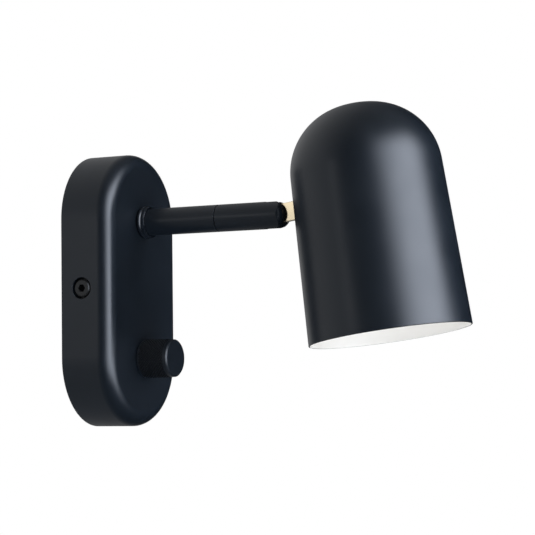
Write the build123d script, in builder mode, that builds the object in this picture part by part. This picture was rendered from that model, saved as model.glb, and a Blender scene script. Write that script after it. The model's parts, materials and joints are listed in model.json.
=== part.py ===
from build123d import *
import os
from math import acos, asin, ceil, cos, degrees, pi, radians, sin, sqrt, tan

# A bedside wall reading lamp: a long round-ended base on the wall, a short arm that
# swivels at a seam, a brass tongue that tilts in the arm's fork, a domed shade on the
# tongue, and a knurled dimmer knob below the arm.
#
# Millimetres. The origin is the centre of the base's back, on the wall. +Z is up,
# -Y is out of the wall into the room, and +X is to the right of someone facing it.

# ---- base and its cover
base_height = 170.0
base_width = 84.5
base_depth = 34.0
base_edge_radius = 8.8             # round of the cover's front edge
cover_wall = 2.0

# ---- side screws that hold the cover to the bracket's ears
side_screw_distance = 14.4         # from the wall
side_screw_head_radius = 5.5
side_screw_head_height = 4.0
side_screw_shank_radius = 3.0
side_screw_key = 4.0               # across flats of the hexagon socket
side_screw_recess_radius = 6.65
side_screw_flush = 0.2             # head below the cover's side
boss_radius = 9.0
boss_floor = 2.4                   # metal left under the screw's head

# ---- wall bracket
bracket_thickness = 2.0
bracket_height = 150.0
ear_width = 16.0
ear_margin = 8.0                   # ear past the screw's axis
ear_bend_radius = 2.5
ear_relief = 1.5
wall_slot_spacing = 120.0
wall_slot_length = 12.0
wall_slot_width = 5.0
clinch_nut_radius = 4.4
clinch_nut_length = 4.5

# ---- cable entry, terminal block and earth screw on the bracket
entry_drop = 14.0                  # cable entry below the base's centre
entry_hole_radius = 7.0
grommet_bore_radius = 4.5
grommet_lip_radius = 9.0
grommet_lip_thickness = 1.4
block_rise = 13.0
block_length = 36.0
block_width = 17.0
block_depth = 14.0
block_poles = 3
block_port_radius = 2.2
block_screw_radius = 1.9
earth_screw_side = 23.0
earth_screw_radius = 2.0

# ---- arm
arm_height = 42.15                 # axis above the base's centre
arm_radius = 8.4
arm_bore_radius = 6.0
arm_bore_floor = 5.0               # metal between the bore and the base
nipple_radius = 5.0
lead_radius = 2.6                  # the way through for the lead
nut_height = 5.0
nut_flats = 15.0
washer_thickness = 1.5
washer_radius = 9.5
collar_gap = 1.2                   # plain foot below the collar's rings
collar_foot_radius = 9.6
collar_ring_radius = 10.5
collar_ring_width = 2.2

# ---- swivel at the arm's seam
seam_distance = 88.25              # from the wall
seam_washer_thickness = 0.6
seam_washer_inset = 0.7
spindle_root_length = 16.0
journal_radius = 5.0
journal_length = 16.0
groove_depth = 1.2
groove_width = 2.2
groove_from_seam = 8.0
swivel_range = 155.0               # degrees each way
dog_radius = 0.9
stop_screw_radius = 2.0
stop_screw_sink = 0.4              # face below the arm's side
stop_screw_key = 2.0

# ---- fork and hinge
hinge_distance = 126.0             # pin from the wall
tongue_thickness = 4.5
tongue_height = 11.2
hinge_washer_thickness = 0.3
hinge_washer_radius = 4.8
pin_radius = 2.0
pin_head_radius = 3.5
pin_head_height = 2.2
pin_head_sink = 0.9                # head below the arm's side
pin_head_key = 2.5
disc_spring_thickness = 0.5
pin_grip = 4.2                     # thread in the near tine
tip_round = 4.4                    # rounding of the fork's outer edges
slot_floor_gap = 0.3
lead_groove_depth = 2.2
lead_groove_width = 2.6

# ---- shade
tilt = 8.05                        # degrees: the mouth swings out from the wall
shade_rim_radius = 48.55
shade_taper = 1.9                  # degrees
shade_cone_height = 99.8
shade_shoulder_inset = 4.7         # centre of the shoulder's arc from the shade's axis
shade_crown_radius = 75.7
shade_wall = 1.0
tongue_reach = 18.0                # pin to the shade's wall
hinge_below_shoulder = 15.1        # pin below the top of the cone
stub_radius = 4.0
stub_foot_thickness = 2.0
stub_nut_height = 4.0
stub_nut_flats = 13.0
stub_tail = 1.2
saddle_radius = 7.5
saddle_thickness = 2.2

# ---- lampholder on its strip
holder_headroom = 10.2             # crown above the end of the holder's nipple
strip_thickness = 1.5
strip_width = 16.0
strip_drop = 9.0                   # strip below the stub's axis
strip_rise = 10.0                  # and above it, before it bends in
strip_step = 16.0                  # how far the slanted run comes in
strip_tail = 9.0
holder_radius = 13.5
holder_wall = 1.6
holder_body_height = 28.0
holder_cap_height = 8.75
holder_lip = 2.0
holder_thread_radius = 7.1
holder_thread_wall = 0.5
holder_insert_top = 4.0
holder_nut_height = 3.0
holder_nut_flats = 14.0
holder_nut_tail = 1.5
contact_thickness = 0.5
contact_width = 4.0
terminal_radius = 1.8
terminal_spacing = 15.0

# ---- bulb
bulb_radius = 22.5
bulb_wall = 1.0
bulb_neck_radius = 9.5
bulb_shoulder_angle = 50.0
bulb_cap_radius = 6.9
bulb_cap_length = 18.4
bulb_insulator_height = 2.6
bulb_contact_radius = 2.3
bulb_contact_height = 1.2

# ---- dimmer and its knob
knob_drop = 43.1                   # axis below the base's centre
knob_length = 21.5
knob_radius = 12.0
knob_gap = 0.6                     # knob to base
knob_back_band = 1.2
knob_front_band = 3.1
knob_chamfer = 0.8
knurl_depth = 0.6
knurl_pitch = 2.0
knob_band_inset = 0.35             # plain bands below the knurl's points
knob_recess_radius = 8.9
knob_recess_depth = 4.6
knob_bore_depth = 13.0
dimmer_width = 30.0
dimmer_depth = 15.0
dimmer_bush_radius = 4.7
dimmer_washer_thickness = 0.8
dimmer_washer_radius = 7.6
dimmer_nut_height = 2.2
dimmer_nut_flats = 13.5
dimmer_bush_tail = 0.9
dimmer_spindle_radius = 3.0
dimmer_flat = 1.2                  # depth of the flat on the spindle

# ---- clearances
fit_clearance = 0.2                # loose hole round a fixed piece
turning_clearance = 0.05           # journal, pin and spindle in their bores
face_clearance = 0.05              # flat faces that turn past each other
stop_clearance = 1.0               # degrees between the dog and the stop


# ---- places that several pieces share

def out_from_wall(distance, height=0.0, side=0.0):
    """A plane parallel to the wall, facing the room, at a distance from the wall."""
    return Plane(origin=(side, -distance, height), x_dir=(1, 0, 0), z_dir=(0, -1, 0))


def turned_plane(height):
    """Half-profile plane of a piece turned about an axis square to the wall.

    In it x is the distance from the wall and y is the radius.
    """
    return Plane(origin=(0, 0, height), x_dir=(0, -1, 0), z_dir=(-1, 0, 0))


def square_to_wall(height):
    """The axis at a height, pointing out of the wall."""
    return Axis((0, 0, height), (0, -1, 0))


def hexagon_radius(flats):
    """Corner radius of a hexagon with this size across its flats."""
    return flats / sqrt(3)


arm_axis = square_to_wall(arm_height)
inner_front = base_depth - cover_wall
half_width = base_width / 2
screw_seat = half_width - side_screw_flush - side_screw_head_height
boss_face = screw_seat - boss_floor
ear_inner_face = boss_face - bracket_thickness
side_planes = [
    Plane(origin=(side * half_width, -side_screw_distance, 0), x_dir=(0, 0, 1), z_dir=(side, 0, 0))
    for side in (-1, 1)
]

tube_end = seam_distance - seam_washer_thickness / 2
washer_front = tube_end + seam_washer_thickness
front_arm_start = washer_front + face_clearance

# The shade's own frame: its origin is the centre of the rim, its z axis is the shade's
# axis, and its y axis points to the wall. The pin is square to it.
taper_slope = tan(radians(shade_taper))
hinge_rise = shade_cone_height - hinge_below_shoulder
hinge_offset = shade_rim_radius - hinge_rise * taper_slope + tongue_reach
shade_up = Vector(0, sin(radians(tilt)), cos(radians(tilt)))
shade_back = Vector(0, cos(radians(tilt)), -sin(radians(tilt)))
pin_point = Vector(0, -hinge_distance, arm_height)
rim_centre = pin_point - shade_back * hinge_offset - shade_up * hinge_rise
shade_plane = Plane(origin=rim_centre, x_dir=(1, 0, 0), z_dir=shade_up)
shade_axis = Axis(rim_centre, shade_up)
shade_section = Plane(shade_plane * Plane.XZ)
shade_side = Plane(shade_plane * Plane.YZ)
pin_plane = Plane(origin=pin_point, x_dir=shade_back, z_dir=(1, 0, 0))


def stub_plane(distance):
    """Plane square to the stub, at a distance from the shade's axis, facing the wall."""
    origin = rim_centre + shade_up * hinge_rise + shade_back * distance
    return Plane(origin=origin, x_dir=(1, 0, 0), z_dir=shade_back)


def shade_level(height):
    """Plane square to the shade's axis, at a height above the rim."""
    return shade_plane.offset(height)


# ==== base =============================================================================

# The bracket: a pressed steel plate on the wall with two ears bent out of its sides.
with BuildPart() as wall_bracket:
    with BuildSketch(Plane.XZ):
        SlotOverall(bracket_height, 2 * boss_face, rotation=90)
        with Locations((boss_face, 0), (-boss_face, 0)):
            Rectangle(
                2 * (ear_bend_radius + bracket_thickness),
                ear_width + 2 * ear_relief,
                mode=Mode.SUBTRACT,
            )
        with Locations((0, wall_slot_spacing / 2), (0, -wall_slot_spacing / 2)):
            SlotOverall(wall_slot_length, wall_slot_width, rotation=90, mode=Mode.SUBTRACT)
        with Locations((0, -entry_drop)):
            Circle(entry_hole_radius, mode=Mode.SUBTRACT)
        with Locations((earth_screw_side, -entry_drop)):
            Circle(earth_screw_radius, mode=Mode.SUBTRACT)
    extrude(amount=bracket_thickness)
    with BuildSketch(Plane.XY.offset(-ear_width / 2)):
        middle = boss_face - bracket_thickness / 2
        ear_end = side_screw_distance + ear_margin
        with BuildLine() as ear_line:
            FilletPolyline(
                (-middle, -ear_end),
                (-middle, -bracket_thickness / 2),
                (middle, -bracket_thickness / 2),
                (middle, -ear_end),
                radius=ear_bend_radius,
            )
        trace(ear_line.line, line_width=bracket_thickness)
        with Locations((0, -bracket_thickness / 2)):
            Rectangle(boss_face, bracket_thickness, mode=Mode.SUBTRACT)
    extrude(amount=ear_width)
    with Locations(*side_planes):
        Hole(side_screw_shank_radius + fit_clearance, depth=base_width / 2 - boss_face + ear_margin)

# Clinch nuts pressed on the inner faces of the ears.
with BuildPart() as clinch_nuts:
    with BuildSketch(*[plane.offset(ear_inner_face - half_width) for plane in side_planes]):
        Circle(clinch_nut_radius)
        Circle(side_screw_shank_radius, mode=Mode.SUBTRACT)
    extrude(amount=-clinch_nut_length)

# The cover: a deep shell with a full round at each end and a soft front edge, with a
# boss inside each side for its screw, a hole for the arm and one for the dimmer's bush.
with BuildPart() as cover_shell:
    with BuildSketch(Plane.XZ):
        SlotOverall(base_height, base_width, rotation=90)
    extrude(amount=base_depth)
    fillet(cover_shell.faces().sort_by(Axis.Y)[0].edges(), base_edge_radius)
    offset(amount=-cover_wall, openings=cover_shell.faces().sort_by(Axis.Y)[-1])
    with BuildSketch(*[plane.offset(boss_face - half_width) for plane in side_planes]):
        Circle(boss_radius)
    extrude(amount=half_width - cover_wall / 2 - boss_face)
    with Locations(*side_planes):
        CounterBoreHole(
            side_screw_shank_radius + fit_clearance,
            side_screw_recess_radius,
            half_width - screw_seat,
            depth=half_width - boss_face + 1,
        )
    with Locations(out_from_wall(base_depth, arm_height)):
        Hole(nipple_radius + fit_clearance, depth=2 * cover_wall)
    with Locations(out_from_wall(base_depth, -knob_drop)):
        Hole(dimmer_bush_radius + fit_clearance, depth=2 * cover_wall)

# Side screws with a flat round head and a hexagon socket.
with BuildPart() as cover_screws:
    with BuildSketch(*[plane.offset(screw_seat - half_width) for plane in side_planes]):
        Circle(side_screw_head_radius)
    extrude(amount=side_screw_head_height)
    fillet(
        [
            cover_screws.edges().filter_by(GeomType.CIRCLE).sort_by(Axis.X)[0],
            cover_screws.edges().filter_by(GeomType.CIRCLE).sort_by(Axis.X)[-1],
        ],
        side_screw_head_height / 5,
    )
    with BuildSketch(*[plane.offset(-side_screw_flush) for plane in side_planes]):
        RegularPolygon(hexagon_radius(side_screw_key), 6)
    extrude(amount=-0.6 * side_screw_head_height, mode=Mode.SUBTRACT)
    with BuildSketch(*[plane.offset(screw_seat - half_width) for plane in side_planes]):
        Circle(side_screw_shank_radius)
    extrude(amount=ear_inner_face - clinch_nut_length - screw_seat)

# Rubber grommet in the bracket's cable entry.
with BuildPart() as cable_grommet:
    with BuildSketch(out_from_wall(0, -entry_drop)):
        Circle(entry_hole_radius)
    extrude(amount=bracket_thickness)
    with BuildSketch(out_from_wall(bracket_thickness, -entry_drop)):
        Circle(grommet_lip_radius)
    extrude(amount=grommet_lip_thickness)
    with Locations(out_from_wall(bracket_thickness + grommet_lip_thickness, -entry_drop)):
        Hole(grommet_bore_radius)
    fillet(
        cable_grommet.edges().filter_by(GeomType.CIRCLE).sort_by(Axis.Y)[0:2],
        grommet_lip_thickness / 3,
    )

# Terminal block for the supply leads: a port and a clamp screw for each pole.
pole_spacing = block_length / block_poles
pole_sides = [(index - (block_poles - 1) / 2) * pole_spacing for index in range(block_poles)]
block_front = bracket_thickness + block_depth
with BuildPart() as terminal_block:
    with BuildSketch(out_from_wall(bracket_thickness, block_rise)):
        Rectangle(block_length, block_width)
    extrude(amount=block_depth)
    chamfer(terminal_block.edges().filter_by(Axis.Y), block_width / 12)
    with BuildSketch(Plane.XY.offset(block_rise - block_width / 2)):
        with Locations(*[(side, -bracket_thickness - block_depth / 2) for side in pole_sides]):
            Circle(block_port_radius)
    extrude(amount=block_width, mode=Mode.SUBTRACT)
    with Locations(*[out_from_wall(block_front, block_rise, side) for side in pole_sides]):
        Hole(block_screw_radius, depth=block_depth / 2)

with BuildPart() as terminal_screws:
    with BuildSketch(
        *[out_from_wall(bracket_thickness + block_depth / 2, block_rise, side) for side in pole_sides]
    ):
        Circle(block_screw_radius)
    extrude(amount=block_depth / 2 - block_screw_radius / 4)
    with BuildSketch(
        *[out_from_wall(block_front - block_screw_radius / 4, block_rise, side) for side in pole_sides]
    ):
        Rectangle(3 * block_screw_radius, block_screw_radius / 3)
    extrude(amount=-block_screw_radius / 2, mode=Mode.SUBTRACT)

# Earth screw with its square clamp plate, beside the cable entry.
with BuildPart() as earth_screw:
    with BuildSketch(out_from_wall(0, -entry_drop, earth_screw_side)):
        Circle(earth_screw_radius)
    extrude(amount=bracket_thickness)
    with BuildSketch(out_from_wall(bracket_thickness, -entry_drop, earth_screw_side)):
        Rectangle(4 * earth_screw_radius, 4 * earth_screw_radius)
    extrude(amount=earth_screw_radius / 2)
    with BuildSketch(
        out_from_wall(bracket_thickness + earth_screw_radius / 2, -entry_drop, earth_screw_side)
    ):
        Circle(1.8 * earth_screw_radius)
    extrude(amount=1.2 * earth_screw_radius)
    with BuildSketch(
        out_from_wall(bracket_thickness + 1.7 * earth_screw_radius, -entry_drop, earth_screw_side)
    ):
        Rectangle(4 * earth_screw_radius, earth_screw_radius / 3)
    extrude(amount=-earth_screw_radius / 2, mode=Mode.SUBTRACT)

# ==== arm ==============================================================================

# Rear tube: it seats on the cover, and its nipple goes through the cover's front.
nipple_end = inner_front - washer_thickness - nut_height - fit_clearance
with BuildPart() as arm_tube_rear:
    with BuildSketch(out_from_wall(base_depth, arm_height)):
        Circle(arm_radius)
    extrude(amount=tube_end - base_depth)
    with BuildSketch(out_from_wall(base_depth, arm_height)):
        Circle(nipple_radius)
    extrude(amount=nipple_end - base_depth)
    with Locations(out_from_wall(tube_end, arm_height)):
        CounterBoreHole(lead_radius, arm_bore_radius, tube_end - base_depth - arm_bore_floor)

with BuildPart() as arm_washer:
    with BuildSketch(out_from_wall(inner_front, arm_height)):
        Circle(washer_radius)
        Circle(nipple_radius + fit_clearance, mode=Mode.SUBTRACT)
    extrude(amount=-washer_thickness)

with BuildPart() as arm_nut:
    with BuildSketch(out_from_wall(inner_front - washer_thickness, arm_height)):
        RegularPolygon(hexagon_radius(nut_flats), 6)
        Circle(nipple_radius, mode=Mode.SUBTRACT)
    extrude(amount=-nut_height)

# Collar at the arm's root: two rounded rings over a small shadow groove.
with BuildPart() as arm_collar:
    with BuildSketch(turned_plane(arm_height)):
        with BuildLine():
            groove_front = base_depth + collar_gap
            ring_ends = [groove_front + ring * collar_ring_width for ring in range(3)]
            Polyline(
                (ring_ends[-1], collar_foot_radius),
                (ring_ends[-1], arm_radius + turning_clearance),
                (base_depth, arm_radius + turning_clearance),
                (base_depth, collar_foot_radius),
                (ring_ends[0], collar_foot_radius),
            )
            for start, end in zip(ring_ends[:-1], ring_ends[1:]):
                ThreePointArc(
                    (start, collar_foot_radius),
                    ((start + end) / 2, collar_ring_radius),
                    (end, collar_foot_radius),
                )
        make_face()
    revolve(axis=arm_axis)

# Swivel spindle: a root pressed in the rear tube and a journal in the front arm. A groove
# round the journal takes the stop screw's point, and the metal left in it is the stop.
journal_end = front_arm_start + journal_length
groove_distance = front_arm_start + groove_from_seam
groove_floor = journal_radius - groove_depth
dog_angle = degrees(asin(dog_radius / (journal_radius - groove_depth / 2)))
stop_half_angle = 180.0 - swivel_range - dog_angle - stop_clearance
stop_turn = radians(stop_half_angle)
groove_plane = Plane(
    origin=(0, 0, arm_height),
    x_dir=(0, -1, 0),
    z_dir=(sin(stop_turn), 0, -cos(stop_turn)),
)
with BuildPart() as swivel_spindle:
    with BuildSketch(out_from_wall(tube_end - spindle_root_length, arm_height)):
        Circle(arm_bore_radius)
    extrude(amount=spindle_root_length)
    with BuildSketch(out_from_wall(tube_end, arm_height)):
        Circle(journal_radius)
    extrude(amount=journal_end - tube_end)
    with BuildSketch(groove_plane):
        with Locations((groove_distance, groove_floor + groove_depth)):
            Rectangle(groove_width, 2 * groove_depth)
    revolve(axis=arm_axis, revolution_arc=360 - 2 * stop_half_angle, mode=Mode.SUBTRACT)
    with Locations(out_from_wall(journal_end, arm_height)):
        Hole(lead_radius)

with BuildPart() as swivel_washer:
    with BuildSketch(out_from_wall(tube_end, arm_height)):
        Circle(arm_radius - seam_washer_inset)
        Circle(journal_radius, mode=Mode.SUBTRACT)
    extrude(amount=seam_washer_thickness)

# Front arm: a round bar that ends in a fork. Its tip is the bar crossed with a disc that
# has rounded edges, centred on the hinge.
slot_width = tongue_thickness + 2 * (hinge_washer_thickness + face_clearance)
slot_floor = hinge_distance - tongue_height / 2 - slot_floor_gap
head_seat = arm_radius - pin_head_sink - pin_head_height - disc_spring_thickness
stop_screw_face = arm_radius - stop_screw_sink
stop_screw_length = stop_screw_face - groove_floor - turning_clearance - groove_depth
hinge_side = Plane(origin=pin_point, x_dir=(0, -1, 0), z_dir=(1, 0, 0))
stop_side = Plane(origin=(0, -groove_distance, arm_height), x_dir=(0, -1, 0), z_dir=(1, 0, 0))
with BuildPart() as front_arm:
    with BuildSketch(Plane(origin=pin_point, x_dir=(1, 0, 0), z_dir=(0, 0, 1))):
        with BuildLine():
            round_start = arm_radius - tip_round
            Line((-arm_radius, 0), (arm_radius, 0))
            Line((arm_radius, 0), (arm_radius, -round_start))
            RadiusArc((arm_radius, -round_start), (round_start, -arm_radius), tip_round)
            Line((round_start, -arm_radius), (-round_start, -arm_radius))
            RadiusArc((-round_start, -arm_radius), (-arm_radius, -round_start), tip_round)
            Line((-arm_radius, -round_start), (-arm_radius, 0))
        make_face()
    revolve(axis=Axis(pin_point, (1, 0, 0)))
    with BuildSketch(out_from_wall(front_arm_start, arm_height)):
        Circle(arm_radius)
    extrude(amount=hinge_distance - front_arm_start)
    with BuildSketch(out_from_wall(front_arm_start, arm_height)):
        Circle(arm_radius)
    extrude(amount=hinge_distance + 2 * arm_radius - front_arm_start, mode=Mode.INTERSECT)
    with BuildSketch(out_from_wall(slot_floor, arm_height)):
        Rectangle(slot_width, 3 * arm_radius)
    extrude(amount=3 * arm_radius, mode=Mode.SUBTRACT)
    with BuildSketch(out_from_wall(front_arm_start, arm_height)):
        Circle(journal_radius + turning_clearance)
    extrude(amount=journal_length + fit_clearance, mode=Mode.SUBTRACT)
    with BuildSketch(out_from_wall(front_arm_start, arm_height)):
        Circle(lead_radius)
    extrude(amount=slot_floor + tongue_thickness - front_arm_start, mode=Mode.SUBTRACT)
    with Locations(hinge_side.offset(head_seat)):
        Hole(pin_radius, depth=head_seat + slot_width / 2 + pin_grip)
    with BuildSketch(hinge_side.offset(head_seat)):
        Circle(pin_head_radius + fit_clearance)
    extrude(amount=arm_radius, mode=Mode.SUBTRACT)
    with BuildSketch(stop_side):
        Circle(stop_screw_radius)
    extrude(amount=arm_radius, mode=Mode.SUBTRACT)

# Stop screw: a grub screw with a dog point, in the far side of the front arm.
with BuildPart() as swivel_stop_screw:
    with BuildSketch(stop_side.offset(stop_screw_face - stop_screw_length)):
        Circle(stop_screw_radius)
    extrude(amount=stop_screw_length)
    with BuildSketch(stop_side.offset(stop_screw_face)):
        RegularPolygon(hexagon_radius(stop_screw_key), 6)
    extrude(amount=-stop_screw_length / 2, mode=Mode.SUBTRACT)
    with BuildSketch(stop_side.offset(stop_screw_face - stop_screw_length)):
        Circle(dog_radius)
    extrude(amount=-groove_depth)

# Hinge screw, from the far side, with a disc spring under its head.
with BuildPart() as hinge_screw:
    with BuildSketch(hinge_side.offset(head_seat + disc_spring_thickness)):
        Circle(pin_head_radius)
    extrude(amount=pin_head_height)
    with BuildSketch(hinge_side.offset(head_seat + disc_spring_thickness + pin_head_height)):
        RegularPolygon(hexagon_radius(pin_head_key), 6)
    extrude(amount=-pin_head_height / 2, mode=Mode.SUBTRACT)
    with BuildSketch(hinge_side.offset(head_seat + disc_spring_thickness)):
        Circle(pin_radius)
    extrude(amount=-(head_seat + disc_spring_thickness + slot_width / 2 + pin_grip))

with BuildPart() as hinge_disc_spring:
    with BuildSketch(hinge_side.offset(head_seat)):
        Circle(pin_head_radius)
        Circle(pin_radius + fit_clearance, mode=Mode.SUBTRACT)
    extrude(amount=disc_spring_thickness)

# Friction washers on both sides of the tongue, against the tines.
with BuildPart() as hinge_washers:
    tine_faces = [
        Plane(origin=pin_point + Vector(side * slot_width / 2, 0, 0), z_dir=(-side, 0, 0))
        for side in (-1, 1)
    ]
    with BuildSketch(*tine_faces):
        Circle(hinge_washer_radius)
        Circle(pin_radius + fit_clearance, mode=Mode.SUBTRACT)
    extrude(amount=hinge_washer_thickness)

# ==== head =============================================================================

# The shade's outline is a cone, a shoulder arc and a crown arc, each tangent to the next.
lean = radians(shade_taper)
shade_end_radius = shade_rim_radius - shade_cone_height * taper_slope
shoulder_radius = (shade_end_radius - shade_shoulder_inset) / cos(lean)
shoulder_level = shade_cone_height - shoulder_radius * sin(lean)
crown_turn = acos(shade_shoulder_inset / (shade_crown_radius - shoulder_radius))
crown_level = shoulder_level - shade_shoulder_inset * tan(crown_turn)
shade_height = crown_level + shade_crown_radius


def shade_half_profile(inset):
    """Lines from the rim to the apex. The inset moves them inwards, for the wall's inside."""
    turn = degrees(crown_turn)
    rim = (shade_rim_radius - inset / cos(lean), 0)
    cone_top = (shade_end_radius - inset * cos(lean), shade_cone_height - inset * sin(lean))
    shoulder_centre = (shade_shoulder_inset, shoulder_level)
    cone = Line(rim, cone_top)
    shoulder = CenterArc(shoulder_centre, shoulder_radius - inset, shade_taper, turn - shade_taper)
    crown = CenterArc((0, crown_level), shade_crown_radius - inset, turn, 90 - turn)
    return cone, shoulder, crown


with BuildPart() as shade:
    with BuildSketch(shade_section):
        with BuildLine():
            shade_half_profile(0)
            shade_half_profile(shade_wall)
            Line((0, shade_height), (0, shade_height - shade_wall))
            Line((shade_rim_radius, 0), (shade_rim_radius - shade_wall / cos(lean), 0))
        make_face()
    revolve(axis=shade_axis)
    with BuildSketch(stub_plane(0)):
        Circle(stub_radius + fit_clearance)
    extrude(amount=shade_rim_radius, mode=Mode.SUBTRACT)

# The tongue: brass, turned round and milled flat to run in the fork. A groove round its
# eye and a bore through its stub carry the lead into the shade.
wall_outside = hinge_offset - tongue_reach
wall_inside = wall_outside - shade_wall / cos(lean)
strip_face = wall_inside - saddle_thickness
nut_face = strip_face - strip_thickness
stub_end = nut_face - stub_nut_height - stub_tail
with BuildPart() as hinge_tongue:
    with BuildSketch(pin_plane.offset(-tongue_thickness / 2)):
        Circle(tongue_height / 2)
        with Locations((-tongue_reach / 2 - stub_radius / 2, 0)):
            Rectangle(tongue_reach + stub_radius, tongue_height)
    extrude(amount=tongue_thickness)
    with BuildSketch(stub_plane(wall_outside - stub_radius)):
        Circle(tongue_height / 2)
    extrude(amount=stub_radius + stub_foot_thickness)
    with Locations(shade_plane.location):
        Cone(
            shade_rim_radius,
            shade_end_radius,
            shade_cone_height,
            align=(Align.CENTER, Align.CENTER, Align.MIN),
            mode=Mode.SUBTRACT,
        )
    with BuildSketch(stub_plane(stub_end)):
        Circle(stub_radius)
    extrude(amount=wall_outside + stub_foot_thickness / 2 - stub_end)
    with BuildSketch(pin_plane.offset(-tongue_thickness / 2)):
        Circle(pin_radius + turning_clearance)
    extrude(amount=tongue_thickness, mode=Mode.SUBTRACT)
    with BuildSketch(pin_plane.offset(-lead_groove_width / 2)):
        Circle(tongue_height / 2 + fit_clearance)
        Circle(tongue_height / 2 - lead_groove_depth, mode=Mode.SUBTRACT)
        with Locations((-tongue_height / 2, 0)):
            Rectangle(tongue_height, 2 * tongue_height, mode=Mode.SUBTRACT)
    extrude(amount=lead_groove_width, mode=Mode.SUBTRACT)
    with BuildSketch(stub_plane(stub_end)):
        Circle(lead_groove_width / 2)
    extrude(amount=hinge_offset - 2 * pin_radius - stub_end, mode=Mode.SUBTRACT)

# Saddle washer: flat to the strip, and hollowed to the round of the shade's wall.
with BuildPart() as stub_saddle:
    with BuildSketch(stub_plane(strip_face)):
        Circle(saddle_radius)
        Circle(stub_radius + fit_clearance, mode=Mode.SUBTRACT)
    extrude(amount=2 * saddle_thickness)
    with Locations(shade_plane.location):
        Cone(
            shade_rim_radius - shade_wall / cos(lean),
            shade_end_radius - shade_wall / cos(lean),
            shade_cone_height,
            align=(Align.CENTER, Align.CENTER, Align.MIN),
            mode=Mode.INTERSECT,
        )

with BuildPart() as stub_nut:
    with BuildSketch(stub_plane(nut_face)):
        RegularPolygon(hexagon_radius(stub_nut_flats), 6)
        Circle(stub_radius, mode=Mode.SUBTRACT)
    extrude(amount=-stub_nut_height)

# Levels of the lampholder, counted down from the crown's inside.
nipple_top = shade_height - shade_wall - holder_headroom
holder_nut_seat = nipple_top - holder_nut_tail - holder_nut_height
holder_top = holder_nut_seat - strip_thickness
holder_split = holder_top - holder_cap_height
holder_mouth = holder_split - holder_body_height

# Strip that carries the lampholder: up the wall from the stub, inwards, and flat over it.
with BuildPart() as holder_bracket:
    with BuildSketch(shade_side.offset(-strip_width / 2)):
        with BuildLine() as strip_line:
            strip_middle = strip_face - strip_thickness / 2
            strip_level = holder_top + strip_thickness / 2
            FilletPolyline(
                (strip_middle, hinge_rise - strip_drop),
                (strip_middle, hinge_rise + strip_rise),
                (strip_middle - strip_step, strip_level),
                (-strip_tail, strip_level),
                radius=2 * strip_thickness,
            )
        trace(strip_line.line, line_width=strip_thickness)
    extrude(amount=strip_width)
    with BuildSketch(stub_plane(strip_middle)):
        Circle(stub_radius + fit_clearance)
    extrude(amount=strip_thickness, both=True, mode=Mode.SUBTRACT)
    with BuildSketch(shade_level(strip_level)):
        Circle(nipple_radius + fit_clearance)
    extrude(amount=strip_thickness, both=True, mode=Mode.SUBTRACT)

# Lampholder: an outer sleeve and cap round an insert with the threaded shell.
holder_inside = holder_radius - holder_wall
with BuildPart() as holder_body:
    with BuildSketch(shade_level(holder_mouth)):
        Circle(holder_radius)
    extrude(amount=holder_body_height)
    fillet(holder_body.edges().group_by(shade_axis)[0], holder_lip / 2)
    with BuildSketch(shade_level(holder_mouth)):
        Circle(bulb_neck_radius)
    extrude(amount=holder_body_height, mode=Mode.SUBTRACT)
    with BuildSketch(shade_level(holder_mouth + holder_lip)):
        Circle(holder_inside)
    extrude(amount=holder_body_height, mode=Mode.SUBTRACT)

insert_bottom = holder_mouth + holder_lip
thread_outside = holder_thread_radius + holder_thread_wall
with BuildPart() as holder_insert:
    with BuildSketch(shade_level(insert_bottom)):
        Circle(holder_inside - turning_clearance)
    extrude(amount=holder_split - insert_bottom)
    with BuildSketch(shade_level(insert_bottom)):
        Circle(thread_outside)
    extrude(amount=holder_split - holder_insert_top - insert_bottom, mode=Mode.SUBTRACT)
    with BuildSketch(shade_level(holder_split)):
        with Locations((terminal_spacing / 2, 0), (-terminal_spacing / 2, 0)):
            Circle(terminal_radius)
    extrude(amount=-holder_insert_top, mode=Mode.SUBTRACT)

with BuildPart() as holder_thread:
    with BuildSketch(shade_level(insert_bottom)):
        Circle(thread_outside)
        Circle(holder_thread_radius, mode=Mode.SUBTRACT)
    extrude(amount=bulb_cap_length - holder_lip)

with BuildPart() as holder_terminals:
    with BuildSketch(shade_level(holder_split - holder_insert_top)):
        with Locations((terminal_spacing / 2, 0), (-terminal_spacing / 2, 0)):
            Circle(terminal_radius)
    extrude(amount=holder_insert_top + terminal_radius / 2)

with BuildPart() as holder_cap:
    with BuildSketch(shade_level(holder_split)):
        Circle(holder_radius)
    extrude(amount=holder_cap_height)
    fillet(holder_cap.edges().group_by(shade_axis)[-1], holder_cap_height / 2)
    with BuildSketch(shade_level(holder_split)):
        Circle(holder_inside)
    extrude(amount=holder_cap_height / 2 - holder_wall, mode=Mode.SUBTRACT)
    with BuildSketch(shade_level(holder_split)):
        Circle(nipple_radius)
    extrude(amount=holder_cap_height, mode=Mode.SUBTRACT)

nipple_foot = holder_split + holder_cap_height / 2
with BuildPart() as holder_nipple:
    with BuildSketch(shade_level(nipple_foot)):
        Circle(nipple_radius)
        Circle(lead_radius, mode=Mode.SUBTRACT)
    extrude(amount=nipple_top - nipple_foot)

with BuildPart() as holder_nut:
    with BuildSketch(shade_level(holder_nut_seat)):
        RegularPolygon(hexagon_radius(holder_nut_flats), 6)
        Circle(nipple_radius, mode=Mode.SUBTRACT)
    extrude(amount=holder_nut_height)

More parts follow.
